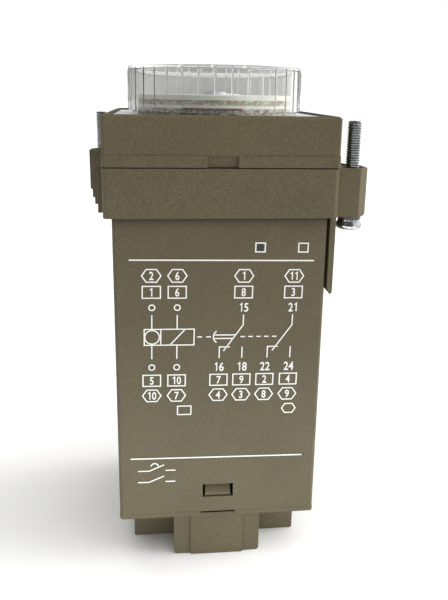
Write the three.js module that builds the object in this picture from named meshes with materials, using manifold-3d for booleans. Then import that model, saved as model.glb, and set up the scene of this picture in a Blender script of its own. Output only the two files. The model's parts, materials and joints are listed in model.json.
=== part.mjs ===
// Plug-in panel timer, 48 x 48 mm front, with a synchronous motor, a gear train, an
// electromagnetic clutch and two changeover contacts.
// Millimetres. The origin is the centre of the terminal base's rear face. +Z points to the
// front knob, and -Y is the labelled side.

import * as THREE from 'three';
import { mergeVertices } from 'three/addons/utils/BufferGeometryUtils.js';
import Module from 'manifold-3d';

const wasm = await Module();
wasm.setup();

// ---------------------------------------------------------------- driving dimensions

const frontHalf = 24;              // bezel and clamp, half of 48
const bodyHalf = 22.4;             // housing, half of 44.8, for a 45 mm panel cut-out
const bodyWall = 1.6;
const bodyInner = bodyHalf - bodyWall;
const gap = 0.1;                   // between pieces that rest on each other
const runningGap = 0.1;            // radial, shaft to bore

// Heights from the terminal base's rear face
const baseTop = 11.25;
const bodyBottom = 11.4;
const bodyTop = 91.9;
const clampBottom = 81.75;
const clampTop = 91.85;
const bezelBottom = 92.05;
const bezelBandTop = 94.4;
const bezelTop = 102.2;
const dialBottom = 101.15;
const drumTop = 106.1;
const knobBottom = 102.5;
const knobTop = 111.9;
const boardBottom = 26.1;
const motorBottom = 50;
const motorTop = 64;
const rearPlateBottom = 65.4;
const frontPlateBottom = 84;
const plateThickness = 1.2;
const rearPlateTop = rearPlateBottom + plateThickness;
const frontPlateTop = frontPlateBottom + plateThickness;

// Terminal base
const wingHalfX = 19.65;
const wingHalfY = 13.44;
const centreHalfX = 10.1;
const centreHalfY = 20.7;
const centrePadHalfX = 6.2;
const centrePadRise = 0.47;
const wellDepth = 9.7;
const wellSize = [8, 5];
const windowHalfX = 3.5;
const windowLevels = [16.3, 19.6];
const notchHalfX = 4;
const notchTop = 12.5;
const flangeBottom = 11.6;
const flangeTop = 13.4;
const flangeHalf = 20.6;
const latchHalfX = 2.9;
const latchLevels = [16.45, 19.3];
const terminalPlaces = [
  [-13.5, -6.6], [0, -6.6], [13.5, -6.6],
  [-13.5, 6.6], [0, 6.6], [13.5, 6.6],
  [-4.9, -16.4], [4.9, -16.4], [-4.9, 16.4], [4.9, 16.4],
];
const bladeWidth = 6.3;
const bladeThickness = 0.8;
const bladeTip = 1.8;
const tailHalfX = 1.2;

// Clamp frame and its screws
const clampWall = 1.2;
const clampInner = frontHalf - clampWall;
const earOuterX = 30.5;
const earFrontY = -22.8;
const earRearY = -15.65;
const earChamfer = 2;
const screwX = 27.48;
const screwY = -19.74;
const screwRadius = 1.5;             // M3
const screwTip = 101.3;
const screwHeadRadius = 2.85;
const screwHeadLevels = [78.45, 81];
const screwRecess = [1.5, 0.35, 1.1];   // half length, half width and depth of its cross
const washerRadius = 2.45;
const finThickness = 1;
const finPlaces = [-3.7, 5.8, 16.5];
const finTaper = 0.1555;           // fall of the fins' reach per millimetre of Y
const legTip = 64.8;
const legFrontY = -22.5;
const legLength = 9.2;

// Knob, dial and setting parts
const knobRadius = 19.7;
const knobRidges = 36;
const knobWallInner = 18;
const knobRoof = 0.55;
const skirtRadius = 18.7;
const skirtBottom = 97.7;
const dialHoleRadius = 18.95;
const drumRadius = 17.5;
const webBottom = 98;
const settingRingRadii = [15.3, 19.4];
const settingRingLevels = [96.4, 97.6];
const settingMarkLevels = [102.95, 103.4];

// Movement
const toothModule = 0.6;
const pinionTeeth = 10;
const idlerTeeth = 28;
const clutchTeeth = 40;
const idlerDistance = toothModule * (pinionTeeth + idlerTeeth) / 2;
const clutchDistance = toothModule * (pinionTeeth + clutchTeeth) / 2;
const idler2Angle = Math.PI / 4;
const gearLevels = [[68, 69.2], [70.6, 71.8], [73.2, 74.4]];
const pillarPlace = 18.6;
const pillarRadius = 1.8;
const rotorShaftRadius = 0.75;
const arborRadius = 0.6;
const spindleRadius = 1.25;
const spindleBottom = 72.4;
const spindleTop = 107.2;
const armatureLevels = [75, 75.8];
const clutchDiscLevels = [76.35, 76.95];
const yokeLevels = [77.3, 83.8];
const yokeRadius = 11;
const drivePinCircle = 6;

// Contacts
const contactPairY = [-6, 6];
const contactWidth = 4;
const contactThickness = 0.3;
const commonX = -17;
const openX = -18.4;
const closedX = -15.6;
const contactLevel = 80;
const blockTop = 74;
const slideLevels = [85.6, 86.8];

// ---------------------------------------------------------------- materials

function material(color, roughness, metalness = 0, opacity = 1) {
  const transparent = opacity < 1;
  return new THREE.MeshStandardMaterial({ color, roughness, metalness, opacity, transparent });
}

const bodyPlastic = material(0x6b6352, 0.6);
const clearPlastic = material(0xe4e6e2, 0.1, 0, 0.35);
const palePlastic = material(0xc9c9cf, 0.45);
const gearPlastic = material(0xe6e2d4, 0.4);
const blackPlastic = material(0x1c1c1c, 0.5);
const redPlastic = material(0xb3201a, 0.4);
const zincSteel = material(0xc4c8cc, 0.25, 1);
const springSteel = material(0x8c9096, 0.3, 1);
const brass = material(0xc0a050, 0.3, 1);
const copper = material(0xa8582c, 0.35, 1);
const ferrite = material(0x34332f, 0.6);
const aluminium = material(0xb4b8bb, 0.4, 1);
const boardGreen = material(0x2f5a3a, 0.5);

// ---------------------------------------------------------------- solids

// A manifold solid from a three.js geometry whose faces may point either way.
function solidOf(geometry) {
  const bare = geometry.clone();
  bare.deleteAttribute('normal');
  bare.deleteAttribute('uv');
  const merged = mergeVertices(bare, 1e-5);
  const triVerts = new Uint32Array(merged.index.array);
  const vertProperties = new Float32Array(merged.attributes.position.array);
  const solid = new wasm.Manifold(new wasm.Mesh({ numProp: 3, vertProperties, triVerts }));
  if (solid.volume() > 0) return solid;
  for (let i = 0; i < triVerts.length; i += 3) {
    [triVerts[i + 1], triVerts[i + 2]] = [triVerts[i + 2], triVerts[i + 1]];
  }
  return new wasm.Manifold(new wasm.Mesh({ numProp: 3, vertProperties, triVerts }));
}

function geometryOf(solid) {
  const mesh = solid.getMesh();
  const geometry = new THREE.BufferGeometry();
  geometry.setAttribute('position', new THREE.BufferAttribute(mesh.vertProperties, 3));
  geometry.setIndex(new THREE.BufferAttribute(mesh.triVerts, 1));
  geometry.computeVertexNormals();
  return geometry;
}

function union(solids) {
  return solids.reduce((sum, solid) => sum.add(solid));
}

function cut(solid, tools) {
  return tools.reduce((rest, tool) => rest.subtract(tool), solid);
}

function block([x0, x1], [y0, y1], [z0, z1]) {
  const geometry = new THREE.BoxGeometry(x1 - x0, y1 - y0, z1 - z0);
  geometry.translate((x0 + x1) / 2, (y0 + y1) / 2, (z0 + z1) / 2);
  return solidOf(geometry);
}

// A block centred on the Z axis, reaching halfX and halfY each way.
function centredBlock(halfX, halfY, levels) {
  return block([-halfX, halfX], [-halfY, halfY], levels);
}

function prism(shape, [z0, z1], curveSegments = 3) {
  const options = { depth: z1 - z0, bevelEnabled: false, curveSegments };
  const geometry = new THREE.ExtrudeGeometry(shape, options);
  geometry.translate(0, 0, z0);
  return solidOf(geometry);
}

// An outline drawn in X and Z, extruded from y0 to y1.
function uprightPrism(shape, [y0, y1], curveSegments = 3) {
  const options = { depth: y1 - y0, bevelEnabled: false, curveSegments };
  const geometry = new THREE.ExtrudeGeometry(shape, options);
  geometry.rotateX(Math.PI / 2);
  geometry.translate(0, y1, 0);
  return solidOf(geometry);
}

function shapeOf(points) {
  return new THREE.Shape(points.map(([x, y]) => new THREE.Vector2(x, y)));
}

function roundedSquare(half, radius) {
  const inner = half - radius;
  const shape = new THREE.Shape();
  shape.absarc(inner, inner, radius, 0, Math.PI / 2);
  shape.absarc(-inner, inner, radius, Math.PI / 2, Math.PI);
  shape.absarc(-inner, -inner, radius, Math.PI, 1.5 * Math.PI);
  shape.absarc(inner, -inner, radius, 1.5 * Math.PI, 2 * Math.PI);
  shape.closePath();
  return shape;
}

// A solid of revolution about Z from [radius, height] points.
function turned(profile, segments = 24, phase = 0) {
  const points = profile.map(([radius, height]) => new THREE.Vector2(radius, height));
  const geometry = new THREE.LatheGeometry(points, segments, phase);
  geometry.rotateX(Math.PI / 2);
  return solidOf(geometry);
}

function rod(radius, [z0, z1], segments = 16, [x, y] = [0, 0]) {
  const geometry = new THREE.CylinderGeometry(radius, radius, z1 - z0, segments);
  geometry.rotateX(Math.PI / 2);
  geometry.translate(x, y, (z0 + z1) / 2);
  return solidOf(geometry);
}

// A rod along X between x0 and x1.
function crossRod(radius, [x0, x1], y, z, segments = 10) {
  const geometry = new THREE.CylinderGeometry(radius, radius, x1 - x0, segments);
  geometry.rotateZ(Math.PI / 2);
  geometry.translate((x0 + x1) / 2, y, z);
  return solidOf(geometry);
}

function tube([inner, outer], levels, segments = 24) {
  const [z0, z1] = levels;
  return turned([[inner, z0], [outer, z0], [outer, z1], [inner, z1], [inner, z0]], segments);
}

// Part of a ring between two angles, in radians.
function ringSector([inner, outer], [from, to], levels, curveSegments = 6) {
  const shape = new THREE.Shape();
  shape.absarc(0, 0, outer, from, to, false);
  shape.absarc(0, 0, inner, to, from, true);
  shape.closePath();
  return prism(shape, levels, curveSegments);
}

// The solid joined with a copy of itself turned half round.
function withOpposite(solid) {
  return solid.add(solid.rotate([0, 0, 180]));
}

const timer = new THREE.Group();
timer.name = 'panel_timer';

function group(name, parent = timer) {
  const branch = new THREE.Group();
  branch.name = name;
  parent.add(branch);
  return branch;
}

function add(parent, name, solid, look, place = [0, 0, 0], turn = 0) {
  const mesh = new THREE.Mesh(geometryOf(solid), look);
  mesh.name = name;
  mesh.position.set(...place);
  mesh.rotation.z = turn;
  parent.add(mesh);
  return mesh;
}

// ---------------------------------------------------------------- housing

function housingShell() {
  const rimStep = 0.06;
  const rimHeight = 1.1;
  const wall = prism(roundedSquare(bodyHalf, 0.9), [bodyBottom + 0.5, bodyTop]);
  const rim = prism(roundedSquare(bodyHalf + rimStep, 0.9), [bodyBottom, bodyBottom + rimHeight]);
  const outside = wall.add(rim);
  const inside = prism(roundedSquare(bodyInner, 0.5), [bodyBottom - 1, bodyTop + 1]);
  const cornerPost = centredBlock(1.2, 1.2, [14, rearPlateBottom - gap]);
  const postPlace = bodyInner - 1;
  const posts = [[1, 1], [1, -1], [-1, 1], [-1, -1]].map(
    ([signX, signY]) => cornerPost.translate([signX * postPlace, signY * postPlace, 0]));
  const throughWall = [-bodyHalf - 1, -bodyInner + 1];
  const window = block([-windowHalfX, windowHalfX], throughWall, windowLevels);
  const notch = block([-notchHalfX, notchHalfX], throughWall, [bodyBottom - 1, notchTop]);
  const openings = withOpposite(window).add(withOpposite(notch));
  return union([cut(outside, [inside]), ...posts]).subtract(openings);
}

function bezelFrame() {
  const bandStep = 0.12;
  const topChamfer = 0.45;
  const recessHalfX = 3.1;
  const recessDepth = 0.6;
  const band = prism(roundedSquare(frontHalf, 0.7), [bezelBottom, bezelBandTop]);
  const upperHalf = frontHalf - bandStep;
  const upper = wasm.Manifold.hull([
    prism(roundedSquare(upperHalf, 0.7), [bezelBandTop - 0.5, bezelTop - topChamfer]),
    prism(roundedSquare(upperHalf - topChamfer, 0.6), [bezelTop - 1, bezelTop]),
  ]);
  const spigot = prism(roundedSquare(bodyInner - 0.2, 0.5), [frontPlateTop + gap, bezelBottom + 1]);
  const spigotHollow = prism(roundedSquare(bodyInner - 1.2, 0.4), [frontPlateTop - 1, webBottom]);
  const knobHole = rod(dialHoleRadius, [webBottom - 1, bezelTop], 48);
  const dialSeat = prism(roundedSquare(22.7, 0.5), [dialBottom - gap, bezelTop + 1]);
  const recessLevels = [bezelBottom - 1, bezelBandTop];
  const recessSpan = [-frontHalf - 1, -frontHalf + recessDepth];
  const edgeRecess = block([-recessHalfX, recessHalfX], recessSpan, recessLevels);
  const body = union([band, upper, spigot]);
  return cut(body, [spigotHollow, knobHole, dialSeat, withOpposite(edgeRecess)]);
}

function dialPlate() {
  const levels = [dialBottom, dialBottom + 0.6];
  const plate = prism(roundedSquare(22.5, 0.4), levels);
  return plate.subtract(rod(dialHoleRadius, [levels[0] - 1, levels[1] + 1], 48));
}

// The raised dial: an open drum on a sector-shaped foot, which stands in the part of the
// turn that the trip arm never reaches.
function dialDrum() {
  const topThickness = 1.2;
  const wall = 1.2;
  const profile = [
    [spindleRadius + runningGap, drumTop - topThickness],
    [drumRadius - wall, drumTop - topThickness],
    [drumRadius - wall, webBottom + 0.2],
    [drumRadius, webBottom + 0.2],
    [drumRadius, drumTop - 0.3],
    [drumRadius - 0.3, drumTop],
    [spindleRadius + runningGap, drumTop],
    [spindleRadius + runningGap, drumTop - topThickness],
  ];
  const footAngles = [Math.PI * 70 / 180, Math.PI * 110 / 180];
  const foot = ringSector([10.5, 14.8], footAngles, [frontPlateTop + gap, drumTop - topThickness / 2]);
  return turned(profile, 36).add(foot);
}

const housing = group('housing');
add(housing, 'housing_shell', housingShell(), bodyPlastic);
add(housing, 'bezel_frame', bezelFrame(), bodyPlastic);
add(housing, 'dial_plate', dialPlate(), palePlastic);
add(housing, 'dial_drum', dialDrum(), palePlastic);

// ---------------------------------------------------------------- terminal base

// A block that reaches halfX and halfY each way, with its lower corners rounded.
function footBlock(halfX, halfY, radius) {
  const shape = new THREE.Shape();
  shape.moveTo(halfX, baseTop);
  shape.lineTo(-halfX, baseTop);
  shape.absarc(-halfX + radius, radius, radius, Math.PI, 1.5 * Math.PI);
  shape.absarc(halfX - radius, radius, radius, 1.5 * Math.PI, 2 * Math.PI);
  shape.closePath();
  return uprightPrism(shape, [-halfY, halfY], 4);
}

function terminalBase() {
  const wings = footBlock(wingHalfX, wingHalfY, 0.5);
  const centre = footBlock(centreHalfX, centreHalfY, 0.8);
  const padFace = centreHalfY + centrePadRise;
  const pads = footBlock(centrePadHalfX, padFace, 0.4);
  const neck = centredBlock(centreHalfX, flangeHalf - 0.3, [baseTop - 1, flangeBottom + 0.5]);
  const flange = prism(roundedSquare(flangeHalf, 0.5), [flangeBottom, flangeTop]);
  const [nubBottom, nubTop] = latchLevels;
  const tongueOutline = shapeOf([
    [flangeHalf - 1.4, flangeTop - 0.5], [flangeHalf - 0.1, flangeTop - 0.5],
    [flangeHalf - 0.1, nubBottom], [bodyHalf - 0.4, nubBottom],
    [bodyHalf - 0.4, nubBottom + 0.9], [flangeHalf - 0.1, nubTop], [flangeHalf - 1.4, nubTop],
  ]);
  const tongue = uprightPrism(tongueOutline, [-latchHalfX, latchHalfX]).rotate([0, 0, -90]);
  const gateMark = rod(0.45, [padFace - 0.12, padFace + 1], 12).rotate([90, 0, 0]).translate([0.1, 0, 5.4]);
  const notchPocket = block([-notchHalfX, notchHalfX], [-bodyHalf, -flangeHalf + 2], [baseTop, notchTop]);
  const body = union([wings, centre, pads, neck, flange, withOpposite(tongue)]);
  const [wellX, wellY] = wellSize;
  const well = centredBlock(wellX / 2, wellY / 2, [-1, wellDepth]);
  const slot = centredBlock(bladeWidth / 2 + 0.2, bladeThickness / 2 + 0.2, [wellDepth - 1, flangeTop + 1]);
  const socket = well.add(slot);
  const sockets = terminalPlaces.map(([x, y]) => socket.translate([x, y, 0]));
  return cut(body, [gateMark, withOpposite(notchPocket), ...sockets]);
}

// A blade with a chamfered tip and a detent hole; its narrow tail passes the circuit board.
function terminalBlade() {
  const half = bladeWidth / 2;
  const chamfer = 1.2;
  const shoulder = boardBottom - gap;
  const tailTop = boardBottom + 2.9;
  const outline = shapeOf([
    [half - chamfer, bladeTip], [half, bladeTip + chamfer], [half, shoulder],
    [tailHalfX, shoulder], [tailHalfX, tailTop], [-tailHalfX, tailTop], [-tailHalfX, shoulder],
    [-half, shoulder], [-half, bladeTip + chamfer], [-half + chamfer, bladeTip],
  ]);
  const detent = new THREE.Path();
  detent.absarc(0, bladeTip + 4, 0.85, 0, 2 * Math.PI, true);
  outline.holes.push(detent);
  return uprightPrism(outline, [-bladeThickness / 2, bladeThickness / 2], 5);
}

function circuitBoard() {
  const levels = [boardBottom, boardBottom + 1.6];
  const board = prism(roundedSquare(18.3, 0.4), levels);
  const slot = centredBlock(tailHalfX + 0.2, bladeThickness / 2 + 0.2, [levels[0] - 1, levels[1] + 1]);
  return cut(board, terminalPlaces.map(([x, y]) => slot.translate([x, y, 0])));
}

function capacitor() {
  const radius = 5;
  const height = 16;
  return turned([
    [0, 0], [radius - 0.4, 0], [radius, 0.4], [radius, 2], [radius - 0.4, 2.4], [radius - 0.4, 3],
    [radius, 3.4], [radius, height - 0.4], [radius - 0.4, height], [0, height],
  ], 14);
}

const base = group('base');
const partsOnBoard = boardBottom + 1.6 + gap;
add(base, 'terminal_base', terminalBase(), bodyPlastic);
terminalPlaces.forEach(([x, y], index) => {
  add(base, `terminal_${index + 1}`, terminalBlade(), brass, [x, y, 0]);
});
add(base, 'circuit_board', circuitBoard(), boardGreen);
add(base, 'capacitor', capacitor(), aluminium, [-7, 0, partsOnBoard]);
add(base, 'rectifier', centredBlock(5, 2.3, [0, 8]), blackPlastic, [8, 0, partsOnBoard]);

// ---------------------------------------------------------------- gears

// A spur gear outline, one tooth centred on the phase angle. The teeth are thin enough to
// run freely at the standard centre distance.
function gearShape(teeth, phase) {
  const pitchRadius = toothModule * teeth / 2;
  const tipRadius = pitchRadius + 0.75 * toothModule;
  const rootRadius = pitchRadius - toothModule;
  const pitchAngle = 2 * Math.PI / teeth;
  const toothPoints = [[rootRadius, 0.26], [tipRadius, 0.1]];
  const shape = new THREE.Shape();
  for (let tooth = 0; tooth < teeth; tooth += 1) {
    const centre = phase + tooth * pitchAngle;
    const rising = toothPoints.map(([radius, width]) => [radius, centre - width * pitchAngle]);
    const falling = toothPoints.map(([radius, width]) => [radius, centre + width * pitchAngle]);
    for (const [radius, angle] of [...rising, ...falling.reverse()]) {
      const x = radius * Math.cos(angle);
      const y = radius * Math.sin(angle);
      if (shape.curves.length === 0 && shape.currentPoint.length() === 0) shape.moveTo(x, y);
      else shape.lineTo(x, y);
    }
  }
  shape.closePath();
  return shape;
}

function gear(teeth, levels, phase) {
  return prism(gearShape(teeth, phase), levels);
}

// The phase of a gear so that one of its gaps meets the driver's tooth. The direction is the
// angle of the line from the driver's centre to this gear's centre.
function meshedPhase(direction, driverPhase, driverTeeth, teeth) {
  const driverOffset = (direction - driverPhase) * driverTeeth / (2 * Math.PI);
  return direction + Math.PI - (0.5 - driverOffset) * 2 * Math.PI / teeth;
}

// Idler 2 stands at the clutch wheel's distance, and idler 1 completes the triangle.
const idler2Place = [clutchDistance * Math.cos(idler2Angle), clutchDistance * Math.sin(idler2Angle)];
const idler1Angle = idler2Angle - Math.acos(clutchDistance / (2 * idlerDistance));
const idler1Place = [idlerDistance * Math.cos(idler1Angle), idlerDistance * Math.sin(idler1Angle)];
const idlerToIdler = Math.atan2(idler2Place[1] - idler1Place[1], idler2Place[0] - idler1Place[0]);

const rotorPhase = idler1Angle;
const idler1Phase = meshedPhase(idler1Angle, rotorPhase, pinionTeeth, idlerTeeth);
const idler2Phase = meshedPhase(idlerToIdler, idler1Phase, pinionTeeth, idlerTeeth);
const clutchPhase = meshedPhase(idler2Angle + Math.PI, idler2Phase, pinionTeeth, clutchTeeth);

// A wheel and its pinion in one moulding, bored for the arbor.
function idler(wheelLevels, pinionLevels, phase) {
  const wheel = gear(idlerTeeth, wheelLevels, phase);
  const pinion = gear(pinionTeeth, [wheelLevels[1] - 0.2, pinionLevels[1]], phase);
  const hub = rod(1.8, [wheelLevels[0] - 0.6, wheelLevels[0] + 0.2], 12);
  const bore = rod(arborRadius + runningGap, [wheelLevels[0] - 2, pinionLevels[1] + 1], 12);
  return union([wheel, pinion, hub]).subtract(bore);
}

// ---------------------------------------------------------------- movement frame

const pillarPlaces = [
  [pillarPlace, pillarPlace], [-pillarPlace, pillarPlace],
  [-pillarPlace, -pillarPlace], [pillarPlace, -pillarPlace],
];
const spigotRadius = 1;

function plateWithPillarHoles([z0, z1]) {
  const plate = prism(roundedSquare(bodyInner - 0.3, 1.5), [z0, z1], 2);
  const hole = rod(spigotRadius + 0.2, [z0 - 1, z1 + 1], 8);
  return cut(plate, pillarPlaces.map(([x, y]) => hole.translate([x, y, 0])));
}

// The rear plate carries the two idler arbors, riveted in.
function rearPlate() {
  const levels = [rearPlateBottom, rearPlateTop];
  const plate = plateWithPillarHoles(levels);
  const pinionHole = rod(4.2, [levels[0] - 1, levels[1] + 1], 16);
  const arbor1 = rod(arborRadius, [levels[0] + 0.5, gearLevels[1][1] + 0.6], 12, idler1Place);
  const arbor2 = rod(arborRadius, [levels[0] + 0.5, gearLevels[2][1] + 0.6], 12, idler2Place);
  return union([plate.subtract(pinionHole), arbor1, arbor2]);
}

const commonSlotX = [commonX - 1.3, commonX + 0.9];

function frontPlate() {
  const levels = [frontPlateBottom, frontPlateTop];
  const through = [levels[0] - 1, levels[1] + 1];
  const spindleHole = rod(2.2, through, 16);
  const slots = contactPairY.map(
    (y) => block(commonSlotX, [y - contactWidth / 2 - 0.4, y + contactWidth / 2 + 0.4], through));
  return cut(plateWithPillarHoles(levels), [spindleHole, ...slots]);
}

function pillar() {
  const lower = rearPlateTop + gap;
  const upper = frontPlateBottom - gap;
  const reach = plateThickness - 0.1;
  return turned([
    [0, lower - reach], [spigotRadius, lower - reach], [spigotRadius, lower], [pillarRadius, lower],
    [pillarRadius, upper], [spigotRadius, upper], [spigotRadius, upper + reach], [0, upper + reach],
  ], 8);
}

const movement = group('movement');
add(movement, 'rear_plate', rearPlate(), zincSteel);
add(movement, 'front_plate', frontPlate(), zincSteel);
pillarPlaces.forEach(([x, y], index) => {
  add(movement, `pillar_${index + 1}`, pillar(), brass, [x, y, 0]);
});

// ---------------------------------------------------------------- motor

function motorCan() {
  const radius = 17.5;
  const sheet = 0.8;
  const floor = motorBottom + sheet;
  const bearing = rotorShaftRadius + runningGap;
  return turned([
    [0, motorBottom], [radius, motorBottom], [radius, motorTop], [radius - sheet, motorTop],
    [radius - sheet, floor], [2.2, floor], [2.2, floor + 1.2], [bearing, floor + 1.2],
    [bearing, motorBottom + 0.4], [0, motorBottom + 0.4],
  ]);
}

// A spool: core tube with two flanges.
function spool(coreInner, coreOuter, flangeRadius, [z0, z1], flange) {
  return turned([
    [coreInner, z0], [flangeRadius, z0], [flangeRadius, z0 + flange], [coreOuter, z0 + flange],
    [coreOuter, z1 - flange], [flangeRadius, z1 - flange], [flangeRadius, z1], [coreInner, z1],
    [coreInner, z0],
  ], 20);
}

// A wound coil, slightly crowned.
function winding([inner, outer], [z0, z1]) {
  const shoulder = (outer - inner) * 0.2;
  return turned([
    [inner, z0], [outer - shoulder, z0], [outer, z0 + shoulder], [outer, z1 - shoulder],
    [outer - shoulder, z1], [inner, z1], [inner, z0],
  ], 20);
}

function rotorShaft() {
  const shaft = rod(rotorShaftRadius, [motorBottom + 0.6, gearLevels[0][1] + 1], 12);
  return shaft.add(gear(pinionTeeth, [gearLevels[0][0] - 0.1, gearLevels[0][1] + 0.1], rotorPhase));
}

const motor = group('motor', movement);
const bobbinLevels = [52.6, 62.4];
add(motor, 'motor_can', motorCan(), zincSteel);
add(motor, 'motor_cover', tube([rotorShaftRadius + runningGap, 17.4], [motorTop + gap, 65.2]), zincSteel);
add(motor, 'motor_bobbin', spool(9.4, 10.4, 15.6, bobbinLevels, 1), gearPlastic);
add(motor, 'motor_winding', winding([10.5, 15.2], [53.7, 61.3]), copper);
add(motor, 'rotor_magnet', tube([rotorShaftRadius + 0.05, 8.6], [53, 62], 16), ferrite);
add(motor, 'rotor_shaft', rotorShaft(), springSteel);

// ---------------------------------------------------------------- gear train

const train = group('gear_train', movement);
add(train, 'idler_1', idler(gearLevels[0], gearLevels[1], idler1Phase), gearPlastic, [...idler1Place, 0]);
add(train, 'idler_2', idler(gearLevels[1], gearLevels[2], idler2Phase), gearPlastic, [...idler2Place, 0]);

function drivePins(radius, levels) {
  return [0, 1, 2].map((pin) => {
    const angle = pin * 2 * Math.PI / 3;
    return rod(radius, levels, 8, [drivePinCircle * Math.cos(angle), drivePinCircle * Math.sin(angle)]);
  });
}

// The clutch wheel turns freely on the spindle; its three pins drive the armature.
function clutchWheel() {
  const levels = gearLevels[2];
  const hub = rod(2.6, [levels[0] - 0.4, levels[1] + 0.5], 16);
  const pins = drivePins(0.7, [levels[1] - 0.2, armatureLevels[1] + 0.15]);
  const bore = rod(spindleRadius + runningGap, [levels[0] - 1, levels[1] + 1], 16);
  return union([gear(clutchTeeth, levels, clutchPhase), hub, ...pins]).subtract(bore);
}

function clutchArmature() {
  const disc = tube([3, 9], armatureLevels);
  return cut(disc, drivePins(0.85, [armatureLevels[0] - 1, armatureLevels[1] + 1]));
}

add(train, 'clutch_wheel', clutchWheel(), gearPlastic);
add(train, 'clutch_armature', clutchArmature(), zincSteel);

// ---------------------------------------------------------------- clutch magnet

function clutchYoke() {
  const [z0, z1] = yokeLevels;
  const sheet = 1.2;
  const bore = spindleRadius + runningGap;
  const core = 4;
  return turned([
    [bore, z0], [core, z0], [core, z1 - sheet], [yokeRadius - sheet, z1 - sheet],
    [yokeRadius - sheet, z0], [yokeRadius, z0], [yokeRadius, z1], [bore, z1], [bore, z0],
  ]);
}

const clutch = group('clutch', movement);
add(clutch, 'clutch_yoke', clutchYoke(), zincSteel);
add(clutch, 'clutch_bobbin', spool(4.15, 4.8, 9.5, [77.5, 82.4], 0.6), gearPlastic);
add(clutch, 'clutch_winding', winding([4.9, 9.2], [78.2, 81.7]), copper);

// ---------------------------------------------------------------- elapsed-time spindle

const elapsedAngle = Math.PI / 3;      // the pointer's and trip arm's place at zero

// An arm that tapers from its hub, pointing along +X before it is turned.
function taperedArm(hubRadius, hubLevels, reach, [rootHalf, tipHalf], armLevels) {
  const outline = shapeOf([[0, -rootHalf], [reach, -tipHalf], [reach, tipHalf], [0, rootHalf]]);
  const bore = rod(spindleRadius + 0.03, [hubLevels[0] - 1, hubLevels[1] + 1], 16);
  return rod(hubRadius, hubLevels, 12).add(prism(outline, armLevels)).subtract(bore);
}

const spindleGroup = group('spindle_group', movement);
const tripArm = taperedArm(3, [89.4, 92.4], 15.1, [1.6, 1], [90, 91.4]);
const pointer = taperedArm(2.4, [106.3, 107.1], 14.6, [1.3, 0.3], [106.4, 106.9]);
const clutchDisc = tube([spindleRadius + 0.03, 8.5], clutchDiscLevels, 16);
add(spindleGroup, 'spindle', rod(spindleRadius, [spindleBottom, spindleTop], 16), springSteel);
add(spindleGroup, 'clutch_disc', clutchDisc, blackPlastic);
add(spindleGroup, 'trip_arm', tripArm.rotate([0, 0, elapsedAngle * 180 / Math.PI]), brass);
add(spindleGroup, 'elapsed_pointer', pointer.rotate([0, 0, elapsedAngle * 180 / Math.PI]), palePlastic);

// The return spring: a flat spiral ribbon from the spindle out to the dial drum's foot.
function returnSpring() {
  const turns = 3.25;
  const stepsPerTurn = 12;
  const [innerRadius, outerRadius] = [2.2, 9.6];
  const ribbon = 0.3;
  const steps = turns * stepsPerTurn;
  const points = [];
  const place = (step, offset) => {
    const angle = Math.PI / 2 - (steps - step) * 2 * Math.PI / stepsPerTurn;
    const radius = innerRadius + (outerRadius - innerRadius) * step / steps + offset;
    return [radius * Math.cos(angle), radius * Math.sin(angle)];
  };
  for (let step = 0; step <= steps; step += 1) points.push(place(step, 0));
  for (let step = steps; step >= 0; step -= 1) points.push(place(step, ribbon));
  return prism(shapeOf(points), [86.6, 88.4]);
}

add(movement, 'return_spring', returnSpring(), springSteel);

// ---------------------------------------------------------------- contacts

const stripHalf = contactWidth / 2;
const stripBottom = 70.2;

// A flat contact spring, standing up, with a button on one or both faces.
function contactStrip(x, [z0, z1], buttonSpan) {
  const half = contactThickness / 2;
  const strip = block([x - half, x + half], [-stripHalf, stripHalf], [z0, z1]);
  return strip.add(crossRod(1, buttonSpan, 0, contactLevel));
}

function contactBlock() {
  const levels = [rearPlateTop + gap, blockTop];
  const body = block([-20.3, -13.7], [-10, 10], levels);
  const slotHeight = [stripBottom - 0.3, blockTop + 1];
  const slots = contactPairY.flatMap((y) => {
    const spanY = [y - stripHalf - 0.1, y + stripHalf + 0.1];
    return [
      block([openX - 0.25, openX + 0.25], spanY, slotHeight),
      block([closedX - 0.25, closedX + 0.25], spanY, slotHeight),
      block([commonX - 0.7, commonX + 0.7], spanY, slotHeight),
    ];
  });
  return cut(body, slots);
}

const contacts = group('contacts', movement);
const fixedStrip = [stripBottom, 82];
const commonStrip = [stripBottom, 88];
const openSpan = [openX, commonX - 0.8];
const closedSpan = [commonX + 0.2, closedX];
const commonSpan = [commonX - 0.35, commonX];
add(contacts, 'contact_block', contactBlock(), blackPlastic);
contactPairY.forEach((y, index) => {
  const number = index + 1;
  const openContact = contactStrip(openX, fixedStrip, openSpan);
  const closedContact = contactStrip(closedX, fixedStrip, closedSpan);
  add(contacts, `contact_open_${number}`, openContact, brass, [0, y, 0]);
  add(contacts, `contact_closed_${number}`, closedContact, brass, [0, y, 0]);
  add(contacts, `contact_common_${number}`, contactStrip(commonX, commonStrip, commonSpan), brass, [0, y, 0]);
});

// The trip slide moves both common springs together. Its nose points at the trip arm.
function tripSlide() {
  const bar = block([commonX - 1.5, commonX + 4.5], [-9.5, 9.5], slideLevels);
  const nose = block([commonX + 4, commonX + 6.3], [-1.5, 1.5], slideLevels);
  const slots = contactPairY.map((y) => block(
    [commonX - 0.5, commonX + 0.5], [y - stripHalf - 0.15, y + stripHalf + 0.15],
    [slideLevels[0] - 1, slideLevels[1] + 1]));
  return cut(bar.add(nose), slots);
}

add(contacts, 'trip_slide', tripSlide(), gearPlastic);

// ---------------------------------------------------------------- knob

const knobPhase = Math.PI / 30;        // sets a ridge six degrees off the -Y direction

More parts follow.
